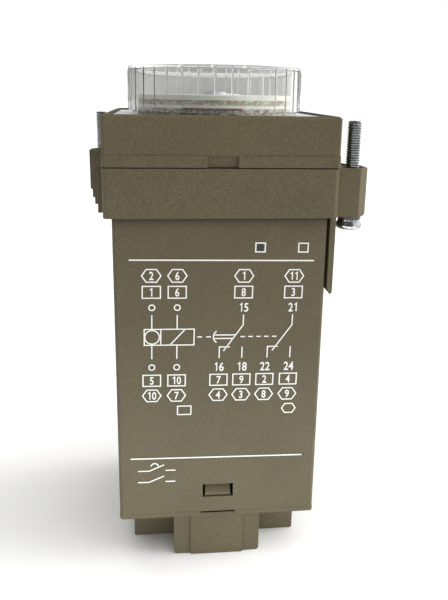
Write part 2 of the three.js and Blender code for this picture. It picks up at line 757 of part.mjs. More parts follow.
function knobCap() {
  const topUnderside = knobTop - knobRoof;
  return turned([
    [0, topUnderside], [knobWallInner, topUnderside], [knobWallInner, skirtBottom],
    [skirtRadius, skirtBottom], [skirtRadius, knobBottom], [knobRadius - 0.4, knobBottom],
    [knobRadius, knobBottom + 0.5], [knobRadius, knobTop - 0.4], [knobRadius - 0.4, knobTop],
    [0, knobTop],
  ], knobRidges, knobPhase);
}

function settingRing() {
  const ring = tube(settingRingRadii, settingRingLevels, 36);
  const finger = block([-1, 1], [-17.4, -16.1], [89.5, settingRingLevels[0] + 0.5]);
  return ring.add(finger);
}

function settingMark() {
  const angles = [-Math.PI * 116 / 180, -Math.PI * 76 / 180];
  return ringSector([drumRadius + 0.13, knobWallInner - 0.13], angles, settingMarkLevels, 8);
}

const knob = group('knob');
add(knob, 'knob_cap', knobCap(), clearPlastic);
add(knob, 'setting_ring', settingRing(), blackPlastic);
add(knob, 'setting_mark', settingMark(), redPlastic);

// ---------------------------------------------------------------- clamp frame and screws

// The ear that holds a clamp screw, with a chamfered front corner and a recess at its top.
function clampEar() {
  const root = frontHalf - 0.6;
  const outline = shapeOf([
    [root, earRearY], [root, earFrontY], [earOuterX - earChamfer, earFrontY],
    [earOuterX, earFrontY + earChamfer], [earOuterX, earRearY],
  ]);
  const ear = prism(outline, [clampBottom, clampTop]);
  const clip = block([-1, 1], [-10, 10], [-1, 1]).rotate([0, 45, 0]);
  const hole = rod(screwRadius + 0.2, [clampBottom - 1, clampTop + 1], 16, [screwX, screwY]);
  const recess = rod(2.35, [clampTop - 2, clampTop + 1], 6, [screwX, screwY]);
  return cut(ear, [clip.translate([earOuterX, screwY, clampBottom - 1]), hole, recess]);
}

function clampFin(y) {
  const finCorner = 0.9;
  const reach = earOuterX - (y - earRearY) * finTaper;
  const shape = new THREE.Shape();
  shape.moveTo(frontHalf - 0.6, clampTop);
  shape.lineTo(frontHalf - 0.6, clampBottom);
  shape.lineTo(reach, clampBottom);
  shape.absarc(reach - finCorner, clampTop - finCorner, finCorner, 0, Math.PI / 2);
  shape.closePath();
  return uprightPrism(shape, [y - finThickness / 2, y + finThickness / 2]);
}

// A spring leg that goes on down beside the housing, chamfered at its tip.
function clampLeg() {
  const outline = shapeOf([
    [clampInner, clampBottom + 1], [clampInner, legTip + 1], [frontHalf - 0.5, legTip],
    [frontHalf, legTip + 0.4], [frontHalf, clampBottom + 1],
  ]);
  return uprightPrism(outline, [legFrontY, legFrontY + legLength]);
}

function clampFrame() {
  const outside = prism(roundedSquare(frontHalf, 1.2), [clampBottom, clampTop]);
  const inside = prism(roundedSquare(clampInner, 0.4), [clampBottom - 1, clampTop + 1]);
  const side = union([clampEar(), clampLeg(), ...finPlaces.map(clampFin)]);
  return cut(outside, [inside]).add(withOpposite(side));
}

// A pan-head screw, head at the rear, with a cross recess.
function clampScrew() {
  const [headBottom, headTop] = screwHeadLevels;
  const body = turned([
    [0, headBottom], [screwHeadRadius * 0.62, headBottom], [screwHeadRadius * 0.9, headBottom + 0.5],
    [screwHeadRadius, headBottom + 1.2], [screwHeadRadius, headTop], [screwRadius, headTop],
    [screwRadius, screwTip - 0.3], [screwRadius - 0.3, screwTip], [0, screwTip],
  ], 16);
  const [length, width, depth] = screwRecess;
  const levels = [headBottom - 1, headBottom + depth];
  return cut(body, [centredBlock(length, width, levels), centredBlock(width, length, levels)]);
}

// A split lock washer under the screw's head.
function lockWasher() {
  const levels = [screwHeadLevels[1] + 0.05, clampBottom - 0.1];
  const ring = tube([screwRadius + 0.1, washerRadius], levels, 16);
  return ring.subtract(block([0, 3], [-0.25, 0.25], [levels[0] - 1, levels[1] + 1]));
}

const clamp = group('clamp');
add(clamp, 'clamp_frame', clampFrame(), bodyPlastic);
[[screwX, screwY], [-screwX, -screwY]].forEach(([x, y], index) => {
  add(clamp, `clamp_screw_${index + 1}`, clampScrew(), zincSteel, [x, y, 0], index * Math.PI);
  add(clamp, `lock_washer_${index + 1}`, lockWasher(), springSteel, [x, y, 0], index * Math.PI);
});

export default timer;
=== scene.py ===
# Looks for a plug-in panel timer with a 48 x 48 mm front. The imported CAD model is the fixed
# frame. This script gives every piece its surface, makes the clear knob, the dial, the screws
# and the printed diagram as finer meshes, and sets the floor, the lights and the camera.
# Sizes are in millimetres and are scaled to metres where a mesh or an object is made.

import json
import math

import bmesh
import bpy
from mathutils import Matrix, Vector


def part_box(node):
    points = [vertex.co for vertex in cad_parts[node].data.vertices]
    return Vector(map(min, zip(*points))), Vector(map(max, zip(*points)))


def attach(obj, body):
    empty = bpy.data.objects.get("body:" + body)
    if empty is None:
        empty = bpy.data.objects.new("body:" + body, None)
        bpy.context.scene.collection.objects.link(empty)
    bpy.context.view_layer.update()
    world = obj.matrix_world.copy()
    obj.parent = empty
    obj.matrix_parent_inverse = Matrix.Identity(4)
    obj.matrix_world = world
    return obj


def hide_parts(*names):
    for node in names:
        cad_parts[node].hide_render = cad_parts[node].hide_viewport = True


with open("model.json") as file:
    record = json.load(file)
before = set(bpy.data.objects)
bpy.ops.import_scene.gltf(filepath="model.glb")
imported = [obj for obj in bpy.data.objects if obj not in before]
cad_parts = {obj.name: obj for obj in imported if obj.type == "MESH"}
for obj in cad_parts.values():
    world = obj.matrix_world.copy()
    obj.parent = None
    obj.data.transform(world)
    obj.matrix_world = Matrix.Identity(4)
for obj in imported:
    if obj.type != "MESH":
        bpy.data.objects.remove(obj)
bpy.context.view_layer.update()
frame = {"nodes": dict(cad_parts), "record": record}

MM = 0.001
nodes = frame["nodes"]
body_of = {
    node: body
    for body, members in frame["record"]["behaviour"]["bodies"].items()
    for node in members
}


def box_mm(node):
    """A node's lowest and highest corners in millimetres."""
    low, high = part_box(node)
    return low / MM, high / MM


# ---------------------------------------------------------------- materials


class Look:
    """A procedural material around one principled shader, patterned in the object's metres."""

    def __init__(self, name, **values):
        self.material = bpy.data.materials.new(name)
        self.material.use_nodes = True
        self.tree = self.material.node_tree
        self.shader = self.tree.nodes["Principled BSDF"]
        self.place = self.add("TexCoord").outputs["Object"]
        self.wire(self.shader, values)

    def wire(self, node, inputs):
        for socket, value in inputs.items():
            if isinstance(value, bpy.types.NodeSocket):
                self.tree.links.new(value, node.inputs[socket])
            else:
                node.inputs[socket].default_value = value

    def add(self, kind, inputs=None, **settings):
        node = self.tree.nodes.new("ShaderNode" + kind)
        for setting, value in settings.items():
            setattr(node, setting, value)
        self.wire(node, inputs or {})
        return node

    def stretched(self, scale, turn=(0, 0, 0)):
        inputs = {"Vector": self.place, "Scale": scale, "Rotation": turn}
        return self.add("Mapping", inputs).outputs["Vector"]

    def noise(self, size, detail=2, roughness=0.5, place=None, distortion=0):
        """Cloudy noise whose blobs are about size millimetres across."""
        inputs = {"Vector": place or self.place, "Scale": 1 / (size * MM), "Detail": detail}
        inputs.update({"Roughness": roughness, "Distortion": distortion})
        return self.add("TexNoise", inputs).outputs["Fac"]

    def ramp(self, factor, *stops):
        """A colour or a grey level that follows factor through (place, value) stops."""
        node = self.add("ValToRGB", {"Fac": factor})
        elements = node.color_ramp.elements
        while len(elements) < len(stops):
            elements.new(0.5)
        for element, (place, value) in zip(elements, stops):
            colour = value if isinstance(value, tuple) else (value, value, value)
            element.position = place
            element.color = (*colour, 1)
        return node.outputs["Color"]

    def blend(self, factor, first, second, mode="MIX"):
        """Mixes two colours or grey levels by factor."""
        factor_socket, first_socket, second_socket = 0, 6, 7     # the mix node's RGBA sockets
        node = self.add("Mix", data_type="RGBA", blend_type=mode)
        for socket, value in ((factor_socket, factor), (first_socket, first), (second_socket, second)):
            if isinstance(value, bpy.types.NodeSocket):
                self.tree.links.new(value, node.inputs[socket])
            else:
                node.inputs[socket].default_value = value if socket == factor_socket else (*value, 1)
        return node.outputs[2]     # the mixed colour

    def math(self, operation, first, second):
        node = self.add("Math", {0: first, 1: second}, operation=operation)
        return node.outputs["Value"]

    def relief(self, height, depth, strength):
        """Raises the surface by depth millimetres where height is 1."""
        inputs = {"Height": height, "Distance": depth * MM, "Strength": strength}
        bump = self.add("Bump", inputs)
        self.wire(self.shader, {"Normal": bump.outputs["Normal"]})

    def scratches(self, width, turn, amount):
        """Sparse fine scratches, 1 on a scratch and 0 elsewhere."""
        place = self.stretched((1, 0.04, 1), turn)
        lines = self.noise(width, 1, 0.4, place, 0.3)
        patches = self.noise(9, 1)
        thin = self.ramp(lines, (amount - 0.012, 0.0), (amount, 1.0), (amount + 0.012, 0.0))
        return self.math("MULTIPLY", thin, self.ramp(patches, (0.55, 0.0), (0.62, 1.0)))


def moulded_body(name, shadow_top=None):
    """Olive-grey thermoplastic with a spark-eroded grain, light flecks and a few scratches.

    Given a height in millimetres, a painted shadow lies in a line just below it: the shade that the clamp's
    overhang casts on the housing, painted into the colour."""
    look = Look(name, IOR=1.5)
    look.shader.inputs["Specular IOR Level"].default_value = 0.4
    grain = look.noise(0.34, 5, 0.85)
    fine = look.noise(0.11, 2, 0.6)
    cloud = look.noise(14, 3)
    colour = look.ramp(
        grain, (0.36, (0.064, 0.052, 0.026)), (0.5, (0.09, 0.075, 0.039)), (0.64, (0.125, 0.108, 0.062)))
    shade = look.ramp(cloud, (0.3, (0.93, 0.93, 0.92)), (0.7, (1.06, 1.05, 1.04)))
    tone = look.blend(1.0, colour, shade, "MULTIPLY")
    worn = look.scratches(0.5, (0.3, 0.9, 0.7), 0.5)
    flecks = look.ramp(look.noise(0.16, 1, 0.5), (0.7, 0.0), (0.76, 0.5))
    tone = look.blend(look.math("MULTIPLY", worn, 0.3), tone, (0.2, 0.18, 0.13))
    tone = look.blend(flecks, tone, (0.14, 0.125, 0.09))
    if shadow_top:
        shadow_reach = 3
        unevenness = 0.04
        height = look.math("DIVIDE", look.add("SeparateXYZ", {"Vector": look.place}).outputs["Z"], MM)
        behind = look.math("DIVIDE", look.math("SUBTRACT", shadow_top, height), shadow_reach)
        behind = look.math("ADD", behind, look.math("MULTIPLY", look.noise(1.5, 2), unevenness))
        # painted shadow under the clamp's overhang: darkest just below its rear face, fading out about two
        # millimetres down
        painted_shadow = look.ramp(
            behind, (0.02, 0.0), (0.08, 0.9), (0.19, 0.9), (0.24, 0.55), (0.45, 0.25), (0.75, 0.0))
        tone = look.blend(painted_shadow, tone, (0.02, 0.018, 0.012))
    look.wire(look.shader, {"Base Color": tone, "Roughness": look.ramp(fine, (0.3, 0.5), (0.7, 0.66))})
    look.relief(look.blend(0.5, grain, fine), 0.02, 0.55)
    return look.material


def satin_plastic(name, dark, light, roughness):
    """A moulded plastic with faint flow clouding and a fine satin grain."""
    look = Look(name, IOR=1.5)
    clouds = look.noise(4, 3, 0.55, distortion=0.6)
    fine = look.noise(0.4, 3, 0.6)
    cloudy = look.ramp(clouds, (0.3, dark), (0.7, light))
    grainy = look.ramp(fine, (0.3, dark), (0.7, light))
    tone = look.blend(0.35, cloudy, grainy)
    low, high = roughness
    look.wire(look.shader, {"Base Color": tone, "Roughness": look.ramp(fine, (0.3, low), (0.7, high))})
    look.relief(fine, 0.008, 0.5)
    return look.material


def clear_acrylic():
    """Slightly grey clear acrylic, polished, with faint flow lines and handling marks."""
    look = Look("clear_acrylic", IOR=1.49)
    look.shader.inputs["Transmission Weight"].default_value = 1
    look.shader.inputs["Specular IOR Level"].default_value = 0.35
    flow = look.noise(5, 2, 0.5, look.stretched((1, 1, 0.35)))
    marks = look.scratches(0.3, (0.5, 0.2, 0.4), 0.5)
    tint = look.ramp(flow, (0.3, (0.875, 0.885, 0.87)), (0.7, (0.93, 0.935, 0.92)))
    haze = look.math("ADD", look.ramp(flow, (0.3, 0.02), (0.7, 0.05)), look.math("MULTIPLY", marks, 0.12))
    look.wire(look.shader, {"Base Color": tint, "Roughness": haze})
    look.relief(flow, 0.03, 0.15)
    return look.material


def dial_plastic():
    """The drum's pale plastic, dulled and mottled brown-grey in a band round its side, with painted shade
    darkening its foot where it sinks into the dial plate's hole.
    """
    look = Look("dial_plastic", IOR=1.5)
    height = look.add("SeparateXYZ", {"Vector": look.place}).outputs["Z"]
    drum_top = box_mm("dial_drum")[1].z
    banded_height = 4
    level = look.math("SUBTRACT", look.math("MULTIPLY", height, 1 / MM), drum_top - banded_height)
    level = look.math("DIVIDE", level, banded_height)
    pale = (0.87, 0.87, 0.81)
    grey = (0.87, 0.87, 0.79)
    brown = (0.3, 0.25, 0.15)
    # dark brown: at the foot it is painted shade, down in the plate's hole; it also draws a thin dark line
    # above the brown band
    stain_and_shade = (0.17, 0.12, 0.05)
    bands = look.ramp(
        level, (0.1, stain_and_shade), (0.26, stain_and_shade), (0.33, pale), (0.44, pale), (0.48, brown), (0.64, brown),
        (0.7, stain_and_shade), (0.73, grey), (0.97, grey), (1.0, pale))
    patches = look.ramp(look.noise(1.1, 3, 0.65, look.stretched((1, 1, 2))), (0.44, 0.0), (0.58, 0.6))
    tone = look.blend(patches, bands, grey)
    fine = look.noise(0.3, 3)
    tone = look.blend(0.12, tone, look.ramp(fine, (0.3, (0.4, 0.4, 0.42)), (0.7, (0.85, 0.85, 0.88))))
    look.wire(look.shader, {"Base Color": tone, "Roughness": look.ramp(fine, (0.3, 0.38), (0.7, 0.5))})
    look.relief(fine, 0.008, 0.5)
    return look.material


def metal(name, dark, light, roughness, stretch=(1, 1, 1), patch=2.5):
    """Bare or plated metal with patchy tone and fine working marks along its stretch."""
    look = Look(name, Metallic=1)
    patches = look.noise(patch, 4, 0.6)
    marks = look.noise(0.25, 3, 0.65, look.stretched(stretch))
    low, high = roughness
    patchy_tone = look.ramp(patches, (0.3, dark), (0.7, light))
    marked_tone = look.ramp(marks, (0.3, dark), (0.7, light))
    tone = look.blend(0.5, patchy_tone, marked_tone)
    patchy_gloss = look.ramp(patches, (0.3, low), (0.7, high))
    marked_gloss = look.ramp(marks, (0.3, low), (0.7, high))
    rough = look.blend(0.5, patchy_gloss, marked_gloss)
    look.wire(look.shader, {"Base Color": tone, "Roughness": rough})
    look.relief(marks, 0.006, 0.4)
    return look.material


def enamelled_wire():
    """Turns of fine enamelled copper wire, lying one above the other, with painted shade darkening the
    grooves between them.
    """
    wire_pitch = 0.22
    wave_period = math.pi / 10     # of the wave texture at a scale of 1
    look = Look("enamelled_wire", Metallic=1)
    inputs = {"Vector": look.place, "Scale": wave_period / (wire_pitch * MM), "Distortion": 0.15}
    turns = look.add("TexWave", inputs, bands_direction="Z").outputs["Fac"]
    patches = look.noise(1.5, 3)
    crest = look.ramp(patches, (0.3, (0.62, 0.25, 0.11)), (0.7, (0.78, 0.36, 0.17)))
    # painted shade: the wave's low part, in the grooves between the turns, is near-black
    tone = look.blend(turns, (0.22, 0.07, 0.03), crest)
    look.wire(look.shader, {"Base Color": tone, "Roughness": look.ramp(patches, (0.3, 0.22), (0.7, 0.4))})
    look.relief(turns, 0.08, 0.8)
    return look.material


def solder_mask():
    """A green circuit board with raised tracks under the mask."""
    track_spacing = 3.2
    look = Look("solder_mask", IOR=1.5)
    inputs = {"Vector": look.place, "Scale": 1 / (track_spacing * MM)}
    cells = look.add("TexVoronoi", inputs, feature="DISTANCE_TO_EDGE", distance="MANHATTAN")
    tracks = look.ramp(cells.outputs["Distance"], (0.07, 1.0), (0.1, 0.0))
    weave = look.noise(0.3, 2)
    bare = look.ramp(weave, (0.3, (0.02, 0.11, 0.04)), (0.7, (0.035, 0.16, 0.06)))
    tone = look.blend(tracks, bare, (0.06, 0.26, 0.1))
    look.wire(look.shader, {"Base Color": tone, "Roughness": look.ramp(weave, (0.3, 0.28), (0.7, 0.42))})
    look.relief(tracks, 0.035, 0.7)
    return look.material


def sintered_ferrite():
    """The rotor magnet's dark, matt, slightly rough ferrite."""
    look = Look("sintered_ferrite")
    grain = look.noise(0.25, 5, 0.7)
    tone = look.ramp(grain, (0.3, (0.018, 0.017, 0.016)), (0.65, (0.06, 0.058, 0.055)))
    look.wire(look.shader, {"Base Color": tone, "Roughness": look.ramp(grain, (0.3, 0.45), (0.7, 0.75))})
    look.relief(grain, 0.03, 0.6)
    return look.material


def stained_red():
    """The red setting mark, its face darkened with painted shade so that red shows in flecks."""
    look = Look("stained_red", IOR=1.5)
    stain_and_shade = look.noise(0.7, 3, 0.6, look.stretched((1, 1, 2)))
    # the near-black patches are painted shade; the red flecks are the mark's own colour
    tone = look.ramp(stain_and_shade, (0.42, (0.06, 0.045, 0.03)), (0.52, (0.1, 0.05, 0.03)), (0.6, (0.42, 0.03, 0.02)))
    look.wire(look.shader, {"Base Color": tone, "Roughness": look.ramp(stain_and_shade, (0.3, 0.35), (0.7, 0.5))})
    look.relief(stain_and_shade, 0.02, 0.5)
    return look.material


def screen_ink(name, colour):
    """Screen-printed ink, a little uneven where it takes to the plastic's grain."""
    thinned = 0.84
    look = Look(name, IOR=1.45)
    grain = look.noise(0.18, 3, 0.6)
    thin = tuple(channel * thinned for channel in colour)
    tone = look.ramp(grain, (0.3, thin), (0.6, colour))
    look.wire(look.shader, {"Base Color": tone, "Roughness": look.ramp(grain, (0.3, 0.45), (0.7, 0.6))})
    look.relief(grain, 0.01, 0.4)
    return look.material


LOOKS = {
    "body_plastic": moulded_body("moulded_body"),
    "clear_plastic": clear_acrylic(),
    "pale_plastic": satin_plastic("pale_satin", (0.56, 0.56, 0.61), (0.68, 0.68, 0.73), (0.35, 0.5)),
    "gear_plastic": satin_plastic("natural_acetal", (0.72, 0.69, 0.58), (0.84, 0.81, 0.71), (0.28, 0.42)),
    "black_plastic": satin_plastic("black_satin", (0.012, 0.012, 0.013), (0.03, 0.03, 0.032), (0.35, 0.55)),
    "red_plastic": stained_red(),
    "zinc_steel": metal("bright_zinc", (0.6, 0.62, 0.65), (0.82, 0.84, 0.86), (0.14, 0.3)),
    "spring_steel": metal("spring_steel", (0.3, 0.31, 0.33), (0.48, 0.49, 0.51), (0.2, 0.36), (1, 1, 0.1)),
    "brass": metal("brass", (0.55, 0.4, 0.15), (0.74, 0.57, 0.26), (0.2, 0.36), (1, 1, 0.15)),
    "copper": enamelled_wire(),
    "ferrite": sintered_ferrite(),
    "aluminium": metal("drawn_aluminium", (0.56, 0.57, 0.58), (0.74, 0.75, 0.76), (0.25, 0.42), (1, 1, 0.08)),
    "board": solder_mask(),
}
DIAL_LOOK = dial_plastic()
# painted reflections: patches under a millimetre across, from near black to bright, stand in for the screws'
# mirrored surroundings
REFLECTION_PAINTED_ZINC = metal("zinc_painted_reflections", (0.14, 0.15, 0.16), (0.84, 0.86, 0.88), (0.08, 0.2), patch=0.9)
# the lock washers take a near-black spring steel, far darker than the spring_steel look
DARK_SPRING_STEEL = metal("dark_spring_steel", (0.03, 0.03, 0.035), (0.2, 0.2, 0.22), (0.25, 0.45), patch=0.8)
# painted shade: a much darker zinc for the thread's roots and front flanks
ROOT_SHADE_ZINC = metal("zinc_root_shade", (0.05, 0.07, 0.065), (0.34, 0.37, 0.36), (0.18, 0.32))
WHITE_INK = screen_ink("white_ink", (0.84, 0.84, 0.8))
BLACK_INK = screen_ink("black_ink", (0.03, 0.03, 0.035))

# ---------------------------------------------------------------- shaping the CAD nodes

SHARP_ANGLE = math.radians(38)


def shading_group(sharp_angle):
    """Geometry nodes that shade smooth, except over edges sharper than the angle."""
    group = bpy.data.node_groups.new("shade_by_angle", "GeometryNodeTree")
    for direction in ("INPUT", "OUTPUT"):
        group.interface.new_socket("Geometry", in_out=direction, socket_type="NodeSocketGeometry")
    make = group.nodes.new
    start, end = make("NodeGroupInput"), make("NodeGroupOutput")
    smooth, sharp = make("GeometryNodeSetShadeSmooth"), make("GeometryNodeSetShadeSmooth")
    sharp.domain = "EDGE"
    angle = make("GeometryNodeInputMeshEdgeAngle")
    compare = make("FunctionNodeCompare")
    compare.operation = "LESS_THAN"
    compare.inputs[1].default_value = sharp_angle
    link = group.links.new
    link(start.outputs[0], smooth.inputs["Geometry"])
    link(smooth.outputs[0], sharp.inputs["Geometry"])
    link(angle.outputs["Unsigned Angle"], compare.inputs[0])
    link(compare.outputs[0], sharp.inputs["Shade Smooth"])
    link(sharp.outputs[0], end.inputs[0])
    return group


SHADE_BY_ANGLE = shading_group(SHARP_ANGLE)


def soften(node, edge_radius):
    """Rounds a CAD node's edges and evens its shading, by modifiers alone."""
    target = nodes[node]
    weld = target.modifiers.new("weld", "WELD")
    weld.merge_threshold = 0.002 * MM
    flat = target.modifiers.new("flat_faces", "DECIMATE")
    flat.decimate_type = "DISSOLVE"
    flat.angle_limit = math.radians(0.4)
    if edge_radius:
        edge = target.modifiers.new("round_edges", "BEVEL")
        edge.width = edge_radius * MM
        edge.segments = 2
        edge.angle_limit = SHARP_ANGLE
        edge.use_clamp_overlap = False
    shade = target.modifiers.new("shading", "NODES")
    shade.node_group = SHADE_BY_ANGLE
    if edge_radius:
        even = target.modifiers.new("even_faces", "WEIGHTED_NORMAL")
        even.keep_sharp = True


EDGE_RADII = {
    "housing_shell": 0.05,
    "bezel_frame": 0.05,
    "clamp_frame": 0.1,
    "terminal_base": 0.05,
    "dial_plate": 0.1,
    "contact_block": 0.15,
    "rectifier": 0.3,
    "circuit_board": 0.05,
    "lock_washer_1": 0.06,
    "lock_washer_2": 0.06,
    "motor_can": 0.15,
    "setting_ring": 0.12,
    "trip_slide": 0.12,
}

CLAMP_REAR = 81.75     # the height of the clamp's rear face
NODE_LOOKS = {
    # the housing's look paints the clamp's shadow just below this height
    "housing_shell": moulded_body("housing_body", CLAMP_REAR),
    "lock_washer_1": DARK_SPRING_STEEL,
    "lock_washer_2": DARK_SPRING_STEEL,
}

for node, cad in nodes.items():
    slot_look = LOOKS[cad.material_slots[0].material.name]
    cad.material_slots[0].material = NODE_LOOKS.get(node, slot_look)
    soften(node, EDGE_RADII.get(node, 0))

# ---------------------------------------------------------------- mesh helpers

MERGE_DISTANCE = 0.0005


def piece(name, mesh, look, body, sharp_degrees=35, second_look=None):
    """A new piece from a bmesh in millimetres; faces of material index 1 take the second look."""
    bmesh.ops.remove_doubles(mesh, verts=mesh.verts, dist=MERGE_DISTANCE)
    bmesh.ops.recalc_face_normals(mesh, faces=mesh.faces)
    data = bpy.data.meshes.new(name)
    mesh.to_mesh(data)
    mesh.free()
    data.transform(Matrix.Scale(MM, 4))
    data.shade_smooth()
    data.set_sharp_from_angle(angle=math.radians(sharp_degrees))
    for surface in filter(None, (look, second_look)):
        data.materials.append(surface)
    made = bpy.data.objects.new(name, data)
    bpy.context.scene.collection.objects.link(made)
    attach(made, body)
    return made


def filleted(corners):
    """A closed outline from (x, y, fillet radius) corners."""
    steps = 5
    points = []
    for index, (x, y, radius) in enumerate(corners):
        corner = Vector((x, y))
        if not radius:
            points.append(corner)
            continue
        back = (Vector(corners[index - 1][:2]) - corner).normalized()
        ahead = (Vector(corners[(index + 1) % len(corners)][:2]) - corner).normalized()
        half = back.angle(ahead) / 2
        centre = corner + (back + ahead).normalized() * radius / math.sin(half)
        reach = radius / math.tan(half)
        start = corner + back * reach - centre
        end = corner + ahead * reach - centre
        first = math.atan2(start.y, start.x)
        sweep = (math.atan2(end.y, end.x) - first + math.pi) % (2 * math.pi) - math.pi
        for step in range(steps + 1):
            angle = first + sweep * step / steps
            points.append(centre + radius * Vector((math.cos(angle), math.sin(angle))))
    return points


def turned(mesh, profile, angles, radius_at=None, place=(0, 0)):
    """Adds a closed (radius, height) profile turned about Z through all the angles."""
    rings = []
    for angle in angles:
        ring = []
        for radius, height in profile:
            reach = radius_at(radius, height, angle) if radius_at else radius
            x = place[0] + reach * math.cos(angle)
            y = place[1] + reach * math.sin(angle)
            ring.append(mesh.verts.new((x, y, height)))
        rings.append(ring)
    for ring, following in zip(rings, rings[1:] + rings[:1]):
        for k in range(len(ring)):
            m = (k + 1) % len(ring)
            mesh.faces.new((ring[k], following[k], following[m], ring[m]))


def even_angles(count):
    return [2 * math.pi * step / count for step in range(count)]


def extruded(mesh, outline, levels, to_space):
    """Adds a closed solid from a flat outline between two levels; to_space(x, y, level)."""
    low, high = [[mesh.verts.new(to_space(x, y, level)) for x, y in outline] for level in levels]
    mesh.faces.new(low)
    mesh.faces.new(list(reversed(high)))
    for k in range(len(outline)):
        m = (k + 1) % len(outline)
        mesh.faces.new((low[k], low[m], high[m], high[k]))


# ---------------------------------------------------------------- clear knob

RIDGES = 36
RIDGE_PHASE = math.radians(6)      # the first ridge stands six degrees round from +X


def clear_knob():
    """A thin-walled cap with shallow flutes between fine ridges, open at the rear."""
    low, high = box_mm("knob_cap")
    ridge_radius = 19.7
    ridge_half = 0.06     # half a ridge's width, as a share of the pitch
    flute_depth = 0.2
    wall_inner = 18
    skirt_radius = 18.7
    grip_bottom = 102.5
    grip_top = high.z - 0.5
    low_fade, high_fade = 0.3, 0.5
    roof = high.z - 0.55
    profile = filleted([
        (0, roof, 0), (wall_inner, roof, 0.25), (wall_inner, low.z, 0), (skirt_radius, low.z, 0.15),
        (skirt_radius, grip_bottom, 0), (ridge_radius, grip_bottom, 0.45),
        (ridge_radius, grip_bottom + 1, 0), (ridge_radius, high.z - 1.2, 0),
        (ridge_radius, high.z, 0.35), (0, high.z, 0)])

    def fade(distance, length):
        part = min(max(distance / length, 0), 1)
        return part * part * (3 - 2 * part)

    def fluted(radius, height, angle):
        turn = (angle - RIDGE_PHASE) * RIDGES / (2 * math.pi) % 1
        offset = min(turn, 1 - turn) / ridge_half
        rise = math.sqrt(1 - offset * offset) if offset < 1 else 0
        ends = fade(height - grip_bottom, low_fade) * fade(grip_top - height, high_fade)
        return min(radius, ridge_radius - flute_depth * (1 - rise * ends))

    # close together over the ridge and wide apart over the flute
    steps = (0, 0.02, 0.036, 0.048, 0.056, 0.061, 0.28, 0.5, 0.72, 0.939, 0.944, 0.952, 0.964, 0.98)
    angles = [
        RIDGE_PHASE + (ridge + step) * 2 * math.pi / RIDGES for ridge in range(RIDGES) for step in steps]
    mesh = bmesh.new()
    turned(mesh, profile, angles, fluted)
    made = piece("clear_knob", mesh, LOOKS["clear_plastic"], body_of["knob_cap"], 30)
    made.visible_shadow = False     # light reaches the dial through the clear plastic
    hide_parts("knob_cap")


clear_knob()

# ---------------------------------------------------------------- dial

SCALE_START = math.radians(60)     # the pointer's place at zero
SCALE_SWEEP = math.radians(300)
SCALE_MARKS = 60
PRINT_DEPTH = 0.02


def dial_drum():
    """The raised dial: an open drum on a foot shaped as a sector."""
    low, high = box_mm("dial_drum")
    radius = high.x
    wall = 1.2
    skirt = 98.2
    bore = 1.35
    overlap = 0.2
    underside = high.z - wall
    mesh = bmesh.new()
    profile = filleted([
        (bore, underside, 0), (radius - wall, underside, 0.3), (radius - wall, skirt, 0.1),
        (radius, skirt, 0.1), (radius, high.z, 0.3), (bore, high.z, 0.1)])
    turned(mesh, profile, even_angles(120))
    foot_inner, foot_outer = 10.5, 14.8
    bends = [math.radians(degrees) for degrees in range(70, 111, 4)]
    outline = [(foot_outer * math.cos(a), foot_outer * math.sin(a)) for a in bends]
    outline += [(foot_inner * math.cos(a), foot_inner * math.sin(a)) for a in reversed(bends)]
    extruded(mesh, outline, (low.z, underside + overlap), lambda x, y, level: (x, y, level))
    made = piece("dial_turned", mesh, DIAL_LOOK, body_of["dial_drum"])
    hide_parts("dial_drum")


def lettering(mesh, text, height, place_matrix, width=0.82, weight=0.05):
    """Adds plain digits, centred on place_matrix and height millimetres tall."""
    digit_share = 0.7     # a digit's height as a share of the font's size
    curve = bpy.data.curves.new("digits", "FONT")
    curve.body = text
    curve.align_x = "CENTER"
    curve.size = height / digit_share
    curve.offset = weight
    curve.extrude = PRINT_DEPTH / 2
    curve.resolution_u = 3
    holder = bpy.data.objects.new("digits", curve)
    bpy.context.scene.collection.objects.link(holder)
    depsgraph = bpy.context.evaluated_depsgraph_get()
    flat = bpy.data.meshes.new_from_object(holder.evaluated_get(depsgraph))
    flat.transform(Matrix.Translation((0, -height / 2, PRINT_DEPTH / 2)))
    flat.transform(Matrix.Diagonal((width, 1, 1, 1)))
    flat.transform(place_matrix)
    mesh.from_mesh(flat)
    bpy.data.objects.remove(holder)
    bpy.data.curves.remove(curve)
    bpy.data.meshes.remove(flat)


def dial_print():
    """Minute marks and numbers round the drum's top, in step with the elapsed pointer."""
    top = box_mm("dial_drum")[1].z
    long_inner, middle_inner, short_inner, outer = 14.4, 15, 15.6, 16.6
    wide_half, fine_half = 0.14, 0.08
    number_radius, number_height = 12.6, 2.1
    mesh = bmesh.new()
    for mark in range(SCALE_MARKS + 1):
        angle = SCALE_START - SCALE_SWEEP * mark / SCALE_MARKS
        major = mark % 10 == 0
        inner = long_inner if major else (middle_inner if mark % 5 == 0 else short_inner)
        half = wide_half if major else fine_half
        turn = Matrix.Rotation(angle, 4, "Z")
        outline = [(inner, -half), (outer, -half), (outer, half), (inner, half)]
        extruded(mesh, outline, (top, top + PRINT_DEPTH), lambda x, y, level: turn @ Vector((x, y, level)))
        if major:
            centre = Vector((number_radius * math.cos(angle), number_radius * math.sin(angle), top))
            lettering(mesh, str(mark), number_height, Matrix.Translation(centre))
    piece("dial_print", mesh, BLACK_INK, body_of["dial_drum"])


dial_drum()
dial_print()

# ---------------------------------------------------------------- clamp screws

THREAD_PITCH = 0.5
THREAD_RADIUS = 1.5
THREAD_ROOT = 1.2


